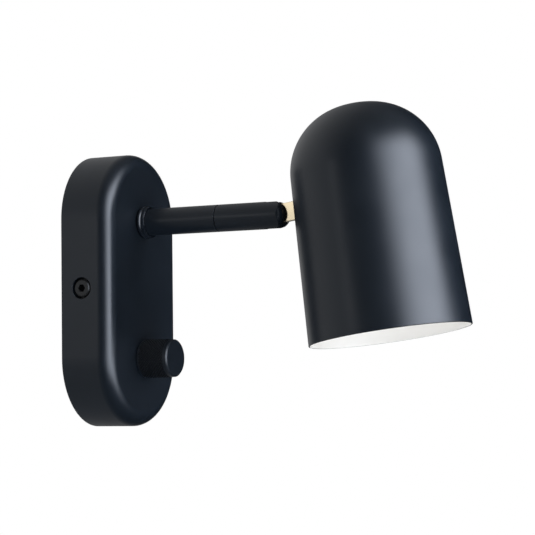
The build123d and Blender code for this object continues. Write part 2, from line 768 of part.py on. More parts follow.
# Bulb: a round opal globe with a neck, a screw cap, its insulator and foot contact.
cap_top = holder_mouth + bulb_cap_length
neck_turn = radians(bulb_shoulder_angle)
neck_start = holder_mouth - (bulb_neck_radius - bulb_cap_radius)
neck_arc_radius = (bulb_radius * cos(neck_turn) - bulb_neck_radius) / (1 - sin(neck_turn))
bulb_centre = neck_start - neck_arc_radius * cos(neck_turn) - bulb_radius * sin(neck_turn)
shoulder_point = (bulb_radius * cos(neck_turn), bulb_centre + bulb_radius * sin(neck_turn))
with BuildPart() as bulb_globe:
    with BuildSketch(shade_section):
        with BuildLine():
            inner_radius = bulb_radius - bulb_wall
            inner_shoulder = (
                inner_radius * cos(neck_turn),
                bulb_centre + inner_radius * sin(neck_turn),
            )
            Line((0, bulb_centre - bulb_radius), (0, bulb_centre - inner_radius))
            CenterArc((0, bulb_centre), bulb_radius, -90, 90 + bulb_shoulder_angle)
            CenterArc((0, bulb_centre), inner_radius, -90, 90 + bulb_shoulder_angle)
            RadiusArc((bulb_neck_radius, neck_start), shoulder_point, -neck_arc_radius)
            RadiusArc(
                (bulb_neck_radius - bulb_wall, neck_start),
                inner_shoulder,
                -(neck_arc_radius + bulb_wall),
            )
            Polyline(
                (bulb_neck_radius, neck_start),
                (bulb_cap_radius, holder_mouth),
                (bulb_cap_radius - bulb_wall, holder_mouth),
                (bulb_neck_radius - bulb_wall, neck_start),
            )
        make_face()
    revolve(axis=shade_axis)

with BuildPart() as bulb_cap:
    with BuildSketch(shade_level(holder_mouth)):
        Circle(bulb_cap_radius)
        Circle(bulb_cap_radius - bulb_wall / 2, mode=Mode.SUBTRACT)
    extrude(amount=bulb_cap_length)

with BuildPart() as bulb_insulator:
    with BuildSketch(shade_level(cap_top)):
        Circle(bulb_cap_radius)
    with BuildSketch(shade_level(cap_top + bulb_insulator_height)):
        Circle(bulb_contact_radius + fit_clearance)
    loft()

with BuildPart() as bulb_contact:
    with BuildSketch(shade_level(cap_top + bulb_insulator_height)):
        Circle(bulb_contact_radius)
    extrude(amount=bulb_contact_height)
    fillet(bulb_contact.edges().group_by(shade_axis)[-1], bulb_contact_height / 3)

# Sprung centre contact, under the insert's floor.
insert_floor = holder_split - holder_insert_top
contact_top = cap_top + bulb_insulator_height + bulb_contact_height
with BuildPart() as centre_contact:
    with BuildSketch(shade_section.offset(-contact_width / 2)):
        with BuildLine() as contact_line:
            Polyline(
                (-thread_outside + contact_thickness, insert_floor - contact_thickness / 2),
                (-bulb_contact_radius, insert_floor - contact_thickness / 2),
                (0, contact_top + 0.6 * contact_thickness),
                (bulb_contact_radius, contact_top + contact_thickness),
            )
        trace(contact_line.line, line_width=contact_thickness)
    extrude(amount=contact_width)

# ==== dimmer ===========================================================================

with BuildPart() as dimmer_housing:
    with BuildSketch(out_from_wall(inner_front, -knob_drop)):
        RectangleRounded(dimmer_width, dimmer_width, dimmer_width / 12)
    extrude(amount=-dimmer_depth)

bush_end = base_depth + dimmer_washer_thickness + dimmer_nut_height + dimmer_bush_tail
with BuildPart() as dimmer_bush:
    with BuildSketch(out_from_wall(inner_front, -knob_drop)):
        Circle(dimmer_bush_radius)
        Circle(dimmer_spindle_radius + turning_clearance, mode=Mode.SUBTRACT)
    extrude(amount=bush_end - inner_front)

with BuildPart() as dimmer_washer:
    with BuildSketch(out_from_wall(base_depth, -knob_drop)):
        Circle(dimmer_washer_radius)
        Circle(dimmer_bush_radius + fit_clearance, mode=Mode.SUBTRACT)
    extrude(amount=dimmer_washer_thickness)

with BuildPart() as dimmer_nut:
    with BuildSketch(out_from_wall(base_depth + dimmer_washer_thickness, -knob_drop)):
        RegularPolygon(hexagon_radius(dimmer_nut_flats), 6)
        Circle(dimmer_bush_radius, mode=Mode.SUBTRACT)
    extrude(amount=dimmer_nut_height)

# Knob: turned, with a plain band at each end, a chamfered front and a diamond knurl.
# The knurl is a ring of small pyramids. Points on it stand on a grid of columns and rows;
# every second one is a peak and the rest are valleys, and each square of the grid is
# split along its two valleys.
knob_back = base_depth + knob_gap
knob_front = knob_back + knob_length
knurl_back = knob_back + knob_back_band
knurl_front = knob_front - knob_front_band
knurl_columns = 2 * round(2 * pi * knob_radius / knurl_pitch)
knurl_rows = 2 * ceil((knurl_front - knurl_back) / knurl_pitch)
band_radius = knob_radius - knob_band_inset


def knurl_point(column, row):
    """A grid point of the knurl: a peak where column and row add up to an even number."""
    at_end = row in (0, knurl_rows)
    valley = at_end or (column + row) % 2
    radius = knob_radius - (knurl_depth if valley else 0)
    angle = 2 * pi * (column % knurl_columns) / knurl_columns
    distance = knurl_back + (knurl_front - knurl_back) * row / knurl_rows
    return Vector(radius * cos(angle), -distance, radius * sin(angle) - knob_drop)


def knurl_faces():
    """The knurl's triangles, and the two flat ends that close it."""
    faces = []
    for row in range(knurl_rows):
        for column in range(knurl_columns):
            near_left = knurl_point(column, row)
            near_right = knurl_point(column + 1, row)
            far_left = knurl_point(column, row + 1)
            far_right = knurl_point(column + 1, row + 1)
            if (column + row) % 2:
                triangles = [(near_left, near_right, far_right), (near_left, far_right, far_left)]
            else:
                triangles = [(near_left, near_right, far_left), (near_right, far_right, far_left)]
            faces += [Face(Wire.make_polygon(corners)) for corners in triangles]
    for row in (0, knurl_rows):
        ring = [knurl_point(column, row) for column in range(knurl_columns)]
        faces.append(Face(Wire.make_polygon(ring)))
    return faces


knurl_core = Solid(Shell(knurl_faces()))

with BuildPart() as knob:
    add(knurl_core)
    with BuildSketch(out_from_wall(knob_back, -knob_drop)):
        Circle(band_radius)
    extrude(amount=knob_back_band)
    with BuildSketch(out_from_wall(knurl_front, -knob_drop)):
        Circle(band_radius)
    extrude(amount=knob_front_band)
    chamfer(knob.edges().filter_by(GeomType.CIRCLE).sort_by(Axis.Y)[0], knob_chamfer)
    with BuildSketch(out_from_wall(knob_back, -knob_drop)):
        Circle(knob_recess_radius)
    extrude(amount=knob_recess_depth, mode=Mode.SUBTRACT)
    with BuildSketch(out_from_wall(knob_back, -knob_drop)):
        Circle(dimmer_spindle_radius)
        with Locations((0, 2 * dimmer_spindle_radius - dimmer_flat)):
            Rectangle(2 * dimmer_spindle_radius, 2 * dimmer_spindle_radius, mode=Mode.SUBTRACT)
    extrude(amount=knob_bore_depth, mode=Mode.SUBTRACT)

# Dimmer spindle with the flat that drives the knob.
with BuildPart() as dimmer_spindle:
    with BuildSketch(out_from_wall(inner_front + face_clearance, -knob_drop)):
        Circle(dimmer_spindle_radius)
        with Locations((0, 2 * dimmer_spindle_radius - dimmer_flat)):
            Rectangle(2 * dimmer_spindle_radius, 2 * dimmer_spindle_radius, mode=Mode.SUBTRACT)
    extrude(amount=knob_back + knob_bore_depth - fit_clearance - inner_front - face_clearance)

# ---- one file for each piece
pieces = {
    "wall_bracket": wall_bracket,
    "clinch_nuts": clinch_nuts,
    "cover_shell": cover_shell,
    "cover_screws": cover_screws,
    "cable_grommet": cable_grommet,
    "terminal_block": terminal_block,
    "terminal_screws": terminal_screws,
    "earth_screw": earth_screw,
    "arm_tube_rear": arm_tube_rear,
    "arm_washer": arm_washer,
    "arm_nut": arm_nut,
    "arm_collar": arm_collar,
    "swivel_spindle": swivel_spindle,
    "swivel_washer": swivel_washer,
    "front_arm": front_arm,
    "swivel_stop_screw": swivel_stop_screw,
    "hinge_screw": hinge_screw,
    "hinge_disc_spring": hinge_disc_spring,
    "hinge_washers": hinge_washers,
    "hinge_tongue": hinge_tongue,
    "shade": shade,
    "stub_saddle": stub_saddle,
    "stub_nut": stub_nut,
    "holder_bracket": holder_bracket,
    "holder_body": holder_body,
    "holder_insert": holder_insert,
    "holder_thread": holder_thread,
    "holder_terminals": holder_terminals,
    "holder_cap": holder_cap,
    "holder_nipple": holder_nipple,
    "holder_nut": holder_nut,
    "bulb_globe": bulb_globe,
    "bulb_cap": bulb_cap,
    "bulb_insulator": bulb_insulator,
    "bulb_contact": bulb_contact,
    "centre_contact": centre_contact,
    "dimmer_housing": dimmer_housing,
    "dimmer_bush": dimmer_bush,
    "dimmer_washer": dimmer_washer,
    "dimmer_nut": dimmer_nut,
    "knob": knob,
    "dimmer_spindle": dimmer_spindle,
}

os.makedirs("parts", exist_ok=True)
for name, piece in pieces.items():
    piece.part.label = name
    export_step(piece.part, f"parts/{name}.step")
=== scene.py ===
import json

import bmesh
import bpy
import numpy as np
from mathutils import Matrix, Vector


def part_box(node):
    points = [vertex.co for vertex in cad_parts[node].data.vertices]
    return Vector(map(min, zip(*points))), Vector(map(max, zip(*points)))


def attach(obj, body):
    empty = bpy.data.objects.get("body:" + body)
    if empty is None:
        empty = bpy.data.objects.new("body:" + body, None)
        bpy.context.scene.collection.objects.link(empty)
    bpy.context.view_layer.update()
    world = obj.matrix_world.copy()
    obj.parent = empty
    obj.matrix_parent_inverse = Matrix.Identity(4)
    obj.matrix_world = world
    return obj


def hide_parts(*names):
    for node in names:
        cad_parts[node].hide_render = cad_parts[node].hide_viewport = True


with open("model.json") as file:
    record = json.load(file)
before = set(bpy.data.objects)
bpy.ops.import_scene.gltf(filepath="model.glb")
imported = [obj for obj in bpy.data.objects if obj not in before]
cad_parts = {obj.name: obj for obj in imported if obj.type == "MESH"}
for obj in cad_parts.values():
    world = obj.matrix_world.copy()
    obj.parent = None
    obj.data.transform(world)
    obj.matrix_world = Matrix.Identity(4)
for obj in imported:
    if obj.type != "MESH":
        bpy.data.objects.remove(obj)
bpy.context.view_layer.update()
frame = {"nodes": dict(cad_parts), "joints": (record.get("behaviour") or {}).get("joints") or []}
node = frame["nodes"]

# ---- the view -------------------------------------------------------------------------
# A long lens stands 1.2 m off, left of the lamp's front and a little below it. Its right
# and up directions, the way it backs off from the lamp, and its place set its matrix.

sensor_width_mm, focal_length_mm = 36.0, 131.82
camera_right = (0.45462, -0.89060, -0.01222)
camera_up = (-0.05154, -0.04001, 0.99787)
camera_back = (-0.88919, -0.45302, -0.06409)
camera_place = (-1.05525, -0.65825, -0.06555)

lens = bpy.data.cameras.new("long lens")
lens.sensor_width = sensor_width_mm
lens.lens = focal_length_mm
camera = bpy.data.objects.new("camera", lens)
camera.matrix_world = Matrix(
    ((*camera_right, 0.0), (*camera_up, 0.0), (*camera_back, 0.0), (*camera_place, 1.0))
).transposed()
bpy.context.scene.collection.objects.link(camera)
bpy.context.scene.camera = camera
bpy.context.scene.view_settings.view_transform = "Standard"

# ---- the room -------------------------------------------------------------------------
# White surroundings, as in a studio with a white sweep: they show as white behind the
# lamp, and light it softly from all round at less than half of that.

light_on_lamp, light_seen = 0.45, 1.0
world = bpy.data.worlds.new("white surroundings")
world.use_nodes = True
bpy.context.scene.world = world
sky = world.node_tree
sky.nodes.clear()
ray = sky.nodes.new("ShaderNodeLightPath")
seen = sky.nodes.new("ShaderNodeMath")
seen.operation = "MAXIMUM"
sky.links.new(ray.outputs["Is Camera Ray"], seen.inputs[0])
sky.links.new(ray.outputs["Is Transmission Ray"], seen.inputs[1])
mirrored = sky.nodes.new("ShaderNodeMath")
mirrored.operation = "MAXIMUM"
sky.links.new(seen.outputs[0], mirrored.inputs[0])
sky.links.new(ray.outputs["Is Glossy Ray"], mirrored.inputs[1])
strength = sky.nodes.new("ShaderNodeMapRange")
strength.inputs["To Min"].default_value = light_on_lamp
strength.inputs["To Max"].default_value = light_seen
sky.links.new(mirrored.outputs[0], strength.inputs["Value"])
glow = sky.nodes.new("ShaderNodeBackground")
glow.inputs["Color"].default_value = (1.0, 1.0, 1.0, 1.0)
sky.links.new(strength.outputs[0], glow.inputs["Strength"])
sky_out = sky.nodes.new("ShaderNodeOutputWorld")
sky.links.new(glow.outputs[0], sky_out.inputs["Surface"])

# Three soft lamps: a key from the upper right, a fill from the left, and a low one that
# stands for the light a white floor throws up into the shade.


def soft_lamp(name, place, aim, width, level):
    """A square area lamp at place, turned to aim, that gives about level at its aim.

    A lamp seen face on from a distance gives energy / (pi * distance)^2.
    """
    lamp = bpy.data.lights.new(name, "AREA")
    lamp.size = width
    away = np.subtract(place, aim)
    distance = float(np.linalg.norm(away))
    lamp.energy = level * np.pi * np.pi * distance**2
    stand = bpy.data.objects.new(name, lamp)
    back = away / distance
    side = np.cross((0.0, 0.0, 1.0), back)
    side = side / np.linalg.norm(side)
    up = np.cross(back, side)
    turned_to = np.eye(4)
    turned_to[:3, :3] = np.stack([side, up, back], axis=1)
    turned_to[:3, 3] = place
    stand.matrix_world = Matrix(turned_to.tolist())
    stand.visible_glossy = False
    bpy.context.scene.collection.objects.link(stand)


middle_of_lamp, mouth_of_shade = (0.0, -0.12, 0.0), (0.0, -0.2, 0.03)
soft_lamp("key lamp", place=(0.5, -1.9, 1.2), aim=middle_of_lamp, width=1.1, level=0.38)
soft_lamp("fill lamp", place=(-1.6, -0.5, 0.7), aim=middle_of_lamp, width=1.2, level=0.20)
soft_lamp("floor bounce", place=(-0.25, -0.9, -1.1), aim=mouth_of_shade, width=1.3, level=0.78)

# The floor is a pale disc well below the lamp, which fades into the white at its edge. It
# can be seen through from below.
floor_middle, floor_radius = (0.0, -0.12, -0.26), 1.3
fade_start, fade_end = 0.25, 1.25
angle = np.linspace(0.0, 2.0 * np.pi, 96, endpoint=False)
reach = np.linspace(0.0, floor_radius, 24)
disc = np.stack(
    [
        floor_middle[0] + np.outer(reach, np.cos(angle)),
        floor_middle[1] + np.outer(reach, np.sin(angle)),
        np.full((len(reach), len(angle)), floor_middle[2]),
    ],
    axis=-1,
)


def skin(name, grid, parts=None, materials=()):
    """A closed skin over a grid of points: rows run along a profile, columns go round.

    The columns join up into a ring, and a row whose points all coincide closes as a pole.
    parts gives the material of each band between two rows.
    """
    rows, columns = grid.shape[:2]
    index = np.arange(rows * columns).reshape(rows, columns)
    after = np.roll(index, -1, axis=1)
    quads = np.stack([index[:-1], after[:-1], after[1:], index[1:]], axis=-1).reshape(-1, 4)
    mesh = bpy.data.meshes.new(name)
    mesh.from_pydata(grid.reshape(-1, 3), [], quads.tolist())
    for material in materials:
        mesh.materials.append(material)
    if parts is not None:
        mesh.polygons.foreach_set("material_index", np.repeat(parts, columns).astype(np.int32))
    work = bmesh.new()
    work.from_mesh(mesh)
    bmesh.ops.remove_doubles(work, verts=work.verts, dist=1e-7)
    bmesh.ops.dissolve_degenerate(work, edges=work.edges, dist=1e-8)
    bmesh.ops.recalc_face_normals(work, faces=work.faces)
    work.to_mesh(mesh)
    work.free()
    mesh.shade_smooth()
    made = bpy.data.objects.new(name, mesh)
    bpy.context.scene.collection.objects.link(made)
    return made


floor = skin("floor", disc)
floor.data.flip_normals()
floor.visible_shadow = False
floor.visible_glossy = False
pale = bpy.data.materials.new("pale floor")
pale.use_nodes = True
tree = pale.node_tree
plain = tree.nodes["Principled BSDF"]
plain.inputs["Base Color"].default_value = (0.86, 0.86, 0.86, 1.0)
plain.inputs["Roughness"].default_value = 0.7
white = tree.nodes.new("ShaderNodeEmission")
where = tree.nodes.new("ShaderNodeTexCoord")
from_middle = tree.nodes.new("ShaderNodeVectorMath")
from_middle.operation = "DISTANCE"
from_middle.inputs[1].default_value = floor_middle
tree.links.new(where.outputs["Object"], from_middle.inputs[0])
fade = tree.nodes.new("ShaderNodeMapRange")
fade.interpolation_type = "SMOOTHSTEP"
fade.inputs["From Min"].default_value = fade_start
fade.inputs["From Max"].default_value = fade_end
tree.links.new(from_middle.outputs["Value"], fade.inputs["Value"])
blend = tree.nodes.new("ShaderNodeMixShader")
tree.links.new(fade.outputs[0], blend.inputs[0])
tree.links.new(plain.outputs[0], blend.inputs[1])
tree.links.new(white.outputs[0], blend.inputs[2])
below = tree.nodes.new("ShaderNodeNewGeometry")
clear = tree.nodes.new("ShaderNodeBsdfTransparent")
one_sided = tree.nodes.new("ShaderNodeMixShader")
tree.links.new(below.outputs["Backfacing"], one_sided.inputs[0])
tree.links.new(blend.outputs[0], one_sided.inputs[1])
tree.links.new(clear.outputs[0], one_sided.inputs[2])
tree.links.new(one_sided.outputs[0], tree.nodes["Material Output"].inputs["Surface"])
floor.data.materials.append(pale)

# What the gloss mirrors: a pale wall behind the lamp, a dark room in front of it with one
# tall soft box to the right of the camera, and a little light overhead. A small card
# beside the wall gives the brass its glint. Only mirrored rays meet all this.
shell_radius = 3.0
from_top = np.linspace(0.0, np.pi, 48)
round_about = np.linspace(0.0, 2.0 * np.pi, 96, endpoint=False)
sphere = np.stack(
    [
        np.outer(np.sin(from_top), np.cos(round_about)),
        np.outer(np.sin(from_top), np.sin(round_about)),
        np.outer(np.cos(from_top), np.ones_like(round_about)),
    ],
    axis=-1,
)
shell = skin("mirrored studio", shell_radius * sphere)
shell.visible_camera = False
shell.visible_diffuse = False
shell.visible_transmission = False
shell.visible_volume_scatter = False
shell.visible_shadow = False
studio = bpy.data.materials.new("mirrored studio")
studio.use_nodes = True
tree = studio.node_tree
tree.nodes.clear()
where = tree.nodes.new("ShaderNodeTexCoord")


def facing(direction, start, end):
    """Goes from 0 to 1 as the angle to a direction falls from start to end, in degrees."""
    along = tree.nodes.new("ShaderNodeVectorMath")
    along.operation = "DOT_PRODUCT"
    unit = np.array(direction) / np.linalg.norm(direction)
    along.inputs[1].default_value = unit / shell_radius
    tree.links.new(where.outputs["Object"], along.inputs[0])
    step = tree.nodes.new("ShaderNodeMapRange")
    step.interpolation_type = "SMOOTHSTEP"
    step.inputs["From Min"].default_value = float(np.cos(np.radians(start)))
    step.inputs["From Max"].default_value = float(np.cos(np.radians(end)))
    tree.links.new(along.outputs["Value"], step.inputs["Value"])
    return step.outputs[0]


def reckon(operation, first, second):
    """The sum, product or other Math operation on two sockets or numbers."""
    result = tree.nodes.new("ShaderNodeMath")
    result.operation = operation
    for socket, value in zip(result.inputs, (first, second)):
        if isinstance(value, float):
            socket.default_value = value
        else:
            tree.links.new(value, socket)
    return result.outputs[0]


# The soft box is what lies between two upright planes through the lamp, at two angles to
# the right of the camera in degrees, and between a level above and a level below. Its
# left side fades in slowly.
box_left_edge, box_right_edge, box_strength = 26.0, 84.0, 7.4
to_camera = np.array((-0.889, -0.453, 0.0)) / np.hypot(0.889, 0.453)
to_right = np.array((0.453, -0.889, 0.0)) / np.hypot(0.453, 0.889)


def beside_camera(degrees_right):
    """The level direction at an angle to the right of the camera."""
    turn = np.radians(degrees_right)
    return np.cos(turn) * to_camera + np.sin(turn) * to_right


box_left = facing(beside_camera(box_left_edge + 90.0), 112.0, 68.0)
box_right = facing(beside_camera(box_right_edge - 90.0), 105.0, 76.0)
box_low = facing((0.0, 0.0, 1.0), 122.0, 92.0)
box_high = facing((0.0, 0.0, -1.0), 146.0, 119.0)
box_across = reckon("MULTIPLY", box_left, box_right)
box_upright = reckon("MULTIPLY", box_low, box_high)
box = reckon("MULTIPLY", box_across, box_upright)

# The pale wall is brighter towards the top. The card stands low beside it, on the left.
wall_glow = reckon("MULTIPLY", facing((0.0, 1.0, 0.0), 92.0, 20.0), 0.50)
upward = reckon("ADD", reckon("MULTIPLY", facing((0.0, 0.0, 1.0), 150.0, 20.0), 0.78), 0.68)
overhead = reckon("MULTIPLY", facing((0.0, -0.2, 1.0), 55.0, 15.0), 0.18)
card = reckon("MULTIPLY", facing((-0.902, 0.42, 0.105), 8.0, 4.0), 1.3)
wall_behind = reckon("MULTIPLY", wall_glow, upward)
surroundings = reckon("ADD", wall_behind, reckon("ADD", overhead, card))
light = tree.nodes.new("ShaderNodeEmission")
light.inputs["Color"].default_value = (0.97, 0.98, 1.0, 1.0)
tree.links.new(surroundings, light.inputs["Strength"])
box_light = tree.nodes.new("ShaderNodeEmission")
box_light.inputs["Color"].default_value = (0.92, 0.99, 1.12, 1.0)
tree.links.new(reckon("MULTIPLY", box, box_strength), box_light.inputs["Strength"])
both = tree.nodes.new("ShaderNodeAddShader")
tree.links.new(light.outputs[0], both.inputs[0])
tree.links.new(box_light.outputs[0], both.inputs[1])
out = tree.nodes.new("ShaderNodeOutputMaterial")
tree.links.new(both.outputs[0], out.inputs["Surface"])
shell.data.materials.append(studio)

# ---- the base's cover -----------------------------------------------------------------
# A deep-drawn steel shell with a soft front edge, 170 mm by 85 mm. It is powder coated in
# a satin blue-black, and slips over the bracket on the wall.


def shared_effect(name, inputs, outputs):
    """An empty shader node group with named sockets, and its two end nodes."""
    group = bpy.data.node_groups.new(name, "ShaderNodeTree")
    for title, kind, value in inputs:
        socket = group.interface.new_socket(title, in_out="INPUT", socket_type=kind)
        socket.default_value = value
    for title, kind in outputs:
        group.interface.new_socket(title, in_out="OUTPUT", socket_type=kind)
    return group, group.nodes.new("NodeGroupInput"), group.nodes.new("NodeGroupOutput")


def surface_grain():
    """Fine relief on softly broken edges: noise of a given size and depth, in metres.

    Cloud is a slow noise from 0 to 1 for shifts of colour and gloss.
    """
    group, given, gives = shared_effect(
        "surface grain",
        [
            ("Size", "NodeSocketFloat", 0.0006),
            ("Depth", "NodeSocketFloat", 0.00001),
            ("Edge", "NodeSocketFloat", 0.0003),
            ("Cloud size", "NodeSocketFloat", 0.02),
            ("Stretch", "NodeSocketVector", (1.0, 1.0, 1.0)),
        ],
        [("Normal", "NodeSocketVector"), ("Cloud", "NodeSocketFloat")],
    )
    add, join = group.nodes.new, group.links.new
    place = add("ShaderNodeTexCoord")
    drawn = add("ShaderNodeVectorMath")
    drawn.operation = "MULTIPLY"
    join(place.outputs["Object"], drawn.inputs[0])
    join(given.outputs["Stretch"], drawn.inputs[1])
    per_metre = add("ShaderNodeMath")
    per_metre.operation = "DIVIDE"
    per_metre.inputs[0].default_value = 1.0
    join(given.outputs["Size"], per_metre.inputs[1])
    grain = add("ShaderNodeTexNoise")
    grain.inputs["Detail"].default_value = 3.0
    join(drawn.outputs[0], grain.inputs["Vector"])
    join(per_metre.outputs[0], grain.inputs["Scale"])
    rounded = add("ShaderNodeBevel")
    rounded.samples = 4
    join(given.outputs["Edge"], rounded.inputs["Radius"])
    relief = add("ShaderNodeBump")
    relief.inputs["Strength"].default_value = 1.0
    join(given.outputs["Depth"], relief.inputs["Distance"])
    join(grain.outputs[0], relief.inputs["Height"])
    join(rounded.outputs[0], relief.inputs["Normal"])
    slow = add("ShaderNodeMath")
    slow.operation = "DIVIDE"
    slow.inputs[0].default_value = 1.0
    join(given.outputs["Cloud size"], slow.inputs[1])
    cloud = add("ShaderNodeTexNoise")
    cloud.inputs["Detail"].default_value = 2.0
    join(place.outputs["Object"], cloud.inputs["Vector"])
    join(slow.outputs[0], cloud.inputs["Scale"])
    join(relief.outputs[0], gives.inputs["Normal"])
    join(cloud.outputs[0], gives.inputs["Cloud"])
    return group


grain_effect = surface_grain()


def finish(name, dark, light, gloss, grain, **fixed):
    """A material whose colour and roughness drift between two values with a slow noise.

    gloss is the least and the greatest roughness, grain the inputs of the surface grain,
    and the rest are fixed values of the shader.
    """
    made = bpy.data.materials.new(name)
    made.use_nodes = True
    nodes, links = made.node_tree.nodes, made.node_tree.links
    shader = nodes["Principled BSDF"]
    effect = nodes.new("ShaderNodeGroup")
    effect.node_tree = grain_effect
    for title, value in grain.items():
        effect.inputs[title].default_value = value
    tint = nodes.new("ShaderNodeMix")
    tint.data_type = "RGBA"
    tint.inputs["A"].default_value = (*dark, 1.0)
    tint.inputs["B"].default_value = (*light, 1.0)
    links.new(effect.outputs["Cloud"], tint.inputs["Factor"])
    links.new(tint.outputs["Result"], shader.inputs["Base Color"])
    rough = nodes.new("ShaderNodeMapRange")
    rough.inputs["From Min"].default_value = 0.3
    rough.inputs["From Max"].default_value = 0.7
    rough.inputs["To Min"].default_value = gloss[0]
    rough.inputs["To Max"].default_value = gloss[1]
    links.new(effect.outputs["Cloud"], rough.inputs["Value"])
    links.new(rough.outputs[0], shader.inputs["Roughness"])
    links.new(effect.outputs["Normal"], shader.inputs["Normal"])
    for title, value in fixed.items():
        shader.inputs[title.replace("_", " ")].default_value = value
    return made


powder_coat = finish(
    "blue-black powder coat",
    dark=(0.0052, 0.0083, 0.0132),
    light=(0.0062, 0.0098, 0.0152),
    gloss=(0.31, 0.36),
    grain={"Size": 0.0007, "Depth": 0.000006, "Edge": 0.0004},
)


def coat(name, material):
    """Gives a carried-over piece its material in every slot."""
    piece = node[name]
    piece.data.materials.clear()
    piece.data.materials.append(material)


coat("cover_shell", powder_coat)

# ---- cover screws ---------------------------------------------------------------------
# Two M6 screws with a flat bevelled head and a hexagon socket, blackened steel, sunk in a
# round recess on each side of the cover and tightened into the bracket's ears.


def softened(corners, steps=6):
    """A profile through corners (distance, radius, rounding), with an arc at each corner.

    The arc touches both sides at rounding / tan(half the corner's angle) from the corner,
    and one more point on each side keeps the flats flat.
    """
    corners = np.asarray(corners, float)
    points = [corners[0, :2]]
    for before, here, after in zip(corners[:-2], corners[1:-1], corners[2:]):
        arm_in, arm_out = before[:2] - here[:2], after[:2] - here[:2]
        length_in, length_out = np.linalg.norm(arm_in), np.linalg.norm(arm_out)
        unit_in, unit_out = arm_in / length_in, arm_out / length_out
        half = 0.5 * np.arccos(np.clip(unit_in @ unit_out, -1.0, 1.0))
        tangent = min(here[2] / np.tan(half), 0.45 * length_in, 0.45 * length_out)
        radius = tangent * np.tan(half)
        bisector = (unit_in + unit_out) / np.linalg.norm(unit_in + unit_out)
        middle = here[:2] + bisector * radius / np.sin(half)
        start, end = here[:2] + tangent * unit_in, here[:2] + tangent * unit_out
        share = np.linspace(0.0, 1.0, steps)[:, None]
        chord = (1.0 - share) * start + share * end - middle
        arc = middle + radius * chord / np.linalg.norm(chord, axis=1, keepdims=True)
        points += [start + 0.1 * tangent * unit_in, *arc, end + 0.1 * tangent * unit_out]
    points.append(corners[-1, :2])
    return np.array(points)


def socket_screw(name, seat, out, head, key, shank, coats):
    """A screw whose head stands on seat and faces out, from its socket's floor to its tip.

    head is (radius, height, bevel), key the socket's (width, depth) and shank (radius,
    length, pitch). The socket's rows lie on a hexagon: half the width over the cosine of
    the angle to the nearest flat. The thread is a triangle wave of the distance over the
    pitch less the share of a turn, 0.54 of the pitch deep, and fades out at both ends.
    """
    head_radius, head_height, bevel = head
    key_width, key_depth = key
    shank_radius, shank_length, pitch = shank
    flat, edge = key_width / 2.0, 0.0001
    socket = softened(
        [
            (head_height - key_depth, 0.0, 0.0),
            (head_height - key_depth, flat, edge),
            (head_height, flat, edge),
            (head_height, 1.1 * flat, 0.0),
        ]
    )
    outside = softened(
        [
            (head_height, 1.25 * flat, 0.0),
            (head_height, head_radius - bevel, edge),
            (head_height - bevel, head_radius, edge),
            (0.0, head_radius, 0.0002),
            (0.0, shank_radius, edge),
            (-0.0003, shank_radius, 0.0),
        ]
    )
    level = np.arange(-0.0005, -shank_length + 0.0003, -pitch / 6.0)
    thread = np.stack([level, np.full_like(level, shank_radius)], axis=1)
    tip = [(-shank_length, shank_radius - 0.0006), (-shank_length, 0.0)]
    outline = np.concatenate([socket, outside, thread, tip])
    turn = np.linspace(0.0, 2.0 * np.pi, 96, endpoint=False)
    along, radius = outline[:, :1], np.repeat(outline[:, 1:], len(turn), axis=1)
    in_socket = (outline[:, 1] < 1.15 * flat) & (along[:, 0] > 0.0)
    corner = np.cos((turn + np.pi / 6.0) % (np.pi / 3.0) - np.pi / 6.0)
    radius[in_socket] /= corner
    wave = np.abs(2.0 * ((along / pitch - turn / (2.0 * np.pi)) % 1.0) - 1.0)
    fade = np.clip(np.minimum(-0.0004 - along, along + shank_length) / pitch, 0.0, 1.0)
    radius = radius - 0.54 * pitch * wave * fade
    out = np.asarray(out, float)
    up = np.array([0.0, 0.0, 1.0])
    side = np.cross(up, out)
    grid = (
        np.asarray(seat)
        + along[..., None] * out
        + radius[..., None] * (np.cos(turn)[:, None] * up + np.sin(turn)[:, None] * side)
    )
    return skin(name, grid, ~(in_socket[:-1] & in_socket[1:]), coats)


blackened_steel = finish(
    "blackened steel",
    dark=(0.014, 0.015, 0.016),
    light=(0.022, 0.023, 0.025),
    gloss=(0.30, 0.42),
    grain={"Size": 0.0004, "Depth": 0.000008, "Edge": 0.00008, "Cloud size": 0.004},
    Metallic=0.35,
)
# The hexagon sockets are painted near-black with little gloss: painted shade for the dark inside
# of each socket.
painted_shade_in_socket = finish(
    "painted shade in the socket",
    dark=(0.0015, 0.0015, 0.0018),
    light=(0.0025, 0.0025, 0.0030),
    gloss=(0.55, 0.70),
    grain={"Size": 0.0004, "Depth": 0.00002, "Edge": 0.00008},
    Specular_IOR_Level=0.12,
)
screw_head_height = 0.0040
screws_low, screws_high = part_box("cover_screws")
for side in (-1.0, 1.0):
    under_head = side * (screws_high.x - screw_head_height)
    cover_screw = socket_screw(
        "cover_screw_left" if side < 0.0 else "cover_screw_right",
        seat=(under_head, (screws_low.y + screws_high.y) / 2.0, 0.0),
        out=(side, 0.0, 0.0),
        head=(0.0055, screw_head_height, 0.0008),
        key=(0.0040, 0.0024),
        shank=(0.0030, 0.0089, 0.0010),
        coats=[painted_shade_in_socket, blackened_steel],
    )
    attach(cover_screw, "base")
    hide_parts("cover_screws")

# ---- bracket --------------------------------------------------------------------------
# Pressed and bent steel plate, zinc plated, with clinch nuts in its ears, two slots for
# the wall screws, and a rubber grommet round the cable's way in.

zinc = finish(
    "bright zinc plate",
    dark=(0.50, 0.51, 0.53),
    light=(0.62, 0.62, 0.61),
    gloss=(0.26, 0.40),
    grain={"Size": 0.0012, "Depth": 0.00001, "Edge": 0.0003, "Cloud size": 0.006},
    Metallic=1.0,
)
for name in ("wall_bracket", "clinch_nuts"):
    coat(name, zinc)

